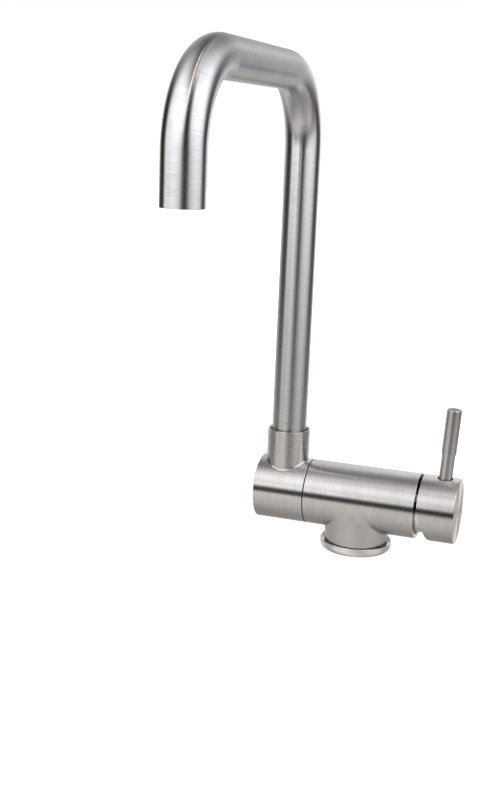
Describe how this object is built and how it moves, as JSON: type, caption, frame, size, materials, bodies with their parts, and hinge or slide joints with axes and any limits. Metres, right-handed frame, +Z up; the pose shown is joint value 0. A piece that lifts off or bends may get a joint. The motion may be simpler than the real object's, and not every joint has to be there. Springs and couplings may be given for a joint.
{
  "type": "folding mixer tap",
  "caption": "Single-lever tap with a U-shaped tube spout that swivels in a fold-down knuckle, a side lever on a horizontal barrel body, and a dished base ring.",
  "frame": {"origin": "on the worktop, at the centre of the base ring", "axes": "+Z up along the neck; +X along the barrel, from the knuckle with the spout to the cap with the lever; the spout's outlet points towards -Y"},
  "size_m": [0.1292, 0.2262, 0.3056],
  "materials": {
    "barrel_steel": "satin, brushed round the barrel",
    "ring_steel": "satin, turned",
    "tube_steel": "satin, brushed along the tube",
    "screw_steel": "plain steel",
    "brass": "machined",
    "rubber": "matt black",
    "dark_plastic": "matt dark grey",
    "white_plastic": "moulded, natural white",
    "blue_plastic": "moulded, blue",
    "ceramic": "lapped ceramic"
  },
  "bodies": {
    "tap_body": {"body": "barrel_steel", "base_ring": "ring_steel", "base_gasket": "rubber", "pivot_bush": "white_plastic", "fold_stop_screw": "screw_steel", "cartridge_base": "white_plastic", "port_seals": "rubber", "fixed_disc": "ceramic", "cartridge_housing": "white_plastic", "cartridge_nut": "brass", "dome_ring": "ring_steel"},
    "fold_knuckle": {"knuckle": "barrel_steel", "pivot_spigot": "brass", "pivot_o_rings": "rubber", "pivot_washer": "dark_plastic", "glide_ring": "dark_plastic", "spout_set_screw": "screw_steel"},
    "spout": {"spout_tube": "tube_steel", "spout_bush": "brass", "spout_o_rings": "rubber", "aerator_sleeve": "ring_steel", "aerator_insert": "white_plastic", "aerator_washer": "rubber"},
    "temperature_carrier": {"stem_carrier": "blue_plastic", "rotor_o_ring": "rubber", "stem_pin": "screw_steel"},
    "flow_disc": {"moving_disc": "ceramic", "disc_carrier": "blue_plastic"},
    "handle": {"stem": "brass", "handle_cap": "barrel_steel", "lever_pin": "tube_steel", "handle_screw": "screw_steel"}
  },
  "joints": [
    {"name": "spout_fold", "type": "hinge", "parent": "tap_body", "child": "fold_knuckle", "pos_m": [-0.032, 0, 0.0329], "axis": [1, 0, 0], "range_deg": [-90, 90]},
    {"name": "spout_swivel", "type": "hinge", "parent": "fold_knuckle", "child": "spout", "pos_m": [-0.0485, 0, 0.06], "axis": [0, 0, 1], "range_deg": [-180, 180]},
    {"name": "temperature_turn", "type": "hinge", "parent": "tap_body", "child": "temperature_carrier", "pos_m": [0.034, 0, 0.0329], "axis": [1, 0, 0], "range_deg": [-50, 50]},
    {"name": "flow_lift", "type": "hinge", "parent": "temperature_carrier", "child": "handle", "pos_m": [0.034, 0, 0.0329], "axis": [0, 1, 0], "range_deg": [0, 20]},
    {"name": "disc_slide", "type": "slide", "parent": "temperature_carrier", "child": "flow_disc", "axis": [0, 0, 1], "range_m": [0, 0.0035]}
  ],
  "couplings": [
    {"joint": "disc_slide", "follows": "flow_lift", "m_per_rad": 0.01}
  ]
}
